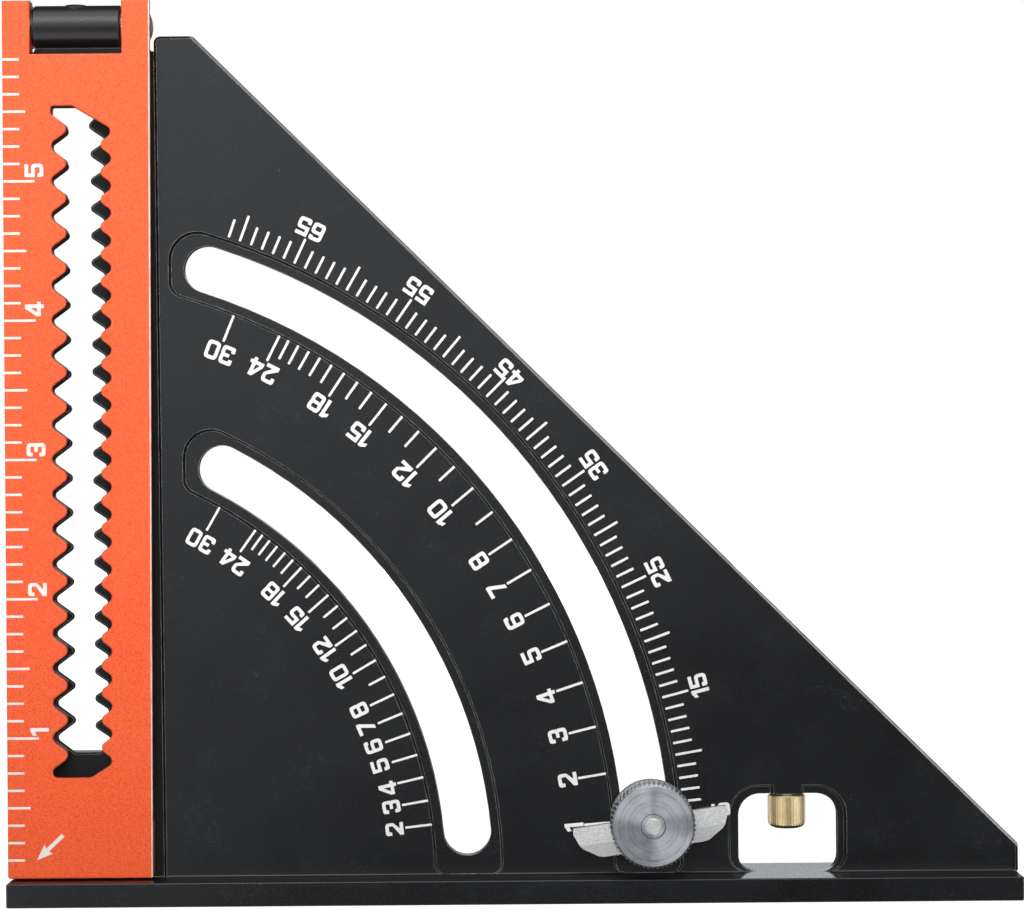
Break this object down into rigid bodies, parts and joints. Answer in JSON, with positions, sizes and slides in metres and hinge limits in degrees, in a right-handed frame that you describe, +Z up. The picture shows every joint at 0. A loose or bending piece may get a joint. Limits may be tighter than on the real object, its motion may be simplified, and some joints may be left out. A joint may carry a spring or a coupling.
{
  "type": "adjustable set square",
  "caption": "Triangular set square with a T fence, a slotted arm folding over on a top hinge, two arc slots, an angle clamp with winged pointer and a pull-out scribe.",
  "frame": {"origin": "centre of the bottom face of the fence, in the middle plane of the plate", "axes": "+Z up from the fence along the arm, +X to the right along the fence seen from the front, -Y toward the viewer of the scales"},
  "size_m": [0.1848, 0.0232, 0.1649],
  "materials": {
    "body_coat": "fine textured black powder coat on a light alloy casting",
    "arm_coat": "orange powder coat on light alloy",
    "hinge_steel": "turned steel",
    "washer_steel": "plain steel",
    "pad_plastic": "natural nylon",
    "screw_steel": "black oxide",
    "shoe_steel": "tumbled, zinc plated",
    "stud_steel": "machined, staked end",
    "pointer_zinc": "blasted zinc casting",
    "nut_steel": "turned and knurled steel",
    "scribe_brass": "knurled brass",
    "needle_steel": "hardened, ground point",
    "ring_rubber": "matt"
  },
  "bodies": {
    "square": {"square_body": "body_coat", "hinge_friction_screw": "screw_steel", "hinge_friction_pad": "pad_plastic"},
    "arm": {"fold_arm": "arm_coat", "hinge_pin": "hinge_steel", "hinge_washer_left": "washer_steel", "hinge_washer_right": "washer_steel"},
    "clamp_slide": {"clamp_shoe": "shoe_steel", "clamp_stud": "stud_steel"},
    "pointer": {"clamp_pointer": "pointer_zinc"},
    "clamp_washer": {"clamp_spring_washer": "washer_steel"},
    "nut": {"thumb_nut": "nut_steel"},
    "scribe": {"scribe_knob": "scribe_brass", "scribe_needle": "needle_steel", "scribe_o_ring": "ring_rubber"}
  },
  "joints": [
    {"name": "arm_fold", "type": "hinge", "parent": "square", "child": "arm", "pos_m": [-0.07865, -0.0015, 0.16057], "axis": [-1, 0, 0], "range_deg": [0, 180]},
    {"name": "cursor_slide", "type": "hinge", "parent": "square", "child": "clamp_slide", "pos_m": [-0.0922, 0, 0.005], "axis": [0, -1, 0], "range_deg": [-0.5, 67]},
    {"name": "pointer_swivel", "type": "hinge", "parent": "clamp_slide", "child": "pointer", "pos_m": [0.02482, -0.0028, 0.01447], "axis": [0, -1, 0], "range_deg": [-8.3, 1.1]},
    {"name": "nut_lift", "type": "slide", "parent": "clamp_slide", "child": "clamp_washer", "axis": [0, -1, 0], "range_m": [0, 0.001]},
    {"name": "nut_turn", "type": "hinge", "parent": "clamp_washer", "child": "nut", "pos_m": [0.02482, -0.007, 0.01447], "axis": [0, -1, 0], "range_deg": [0, 720.2]},
    {"name": "scribe_pull", "type": "slide", "parent": "square", "child": "scribe", "axis": [0, 0, -1], "range_m": [0, 0.0065]}
  ],
  "couplings": [
    {"joint": "nut_turn", "follows": "nut_lift", "rad_per_m": 12566}
  ]
}
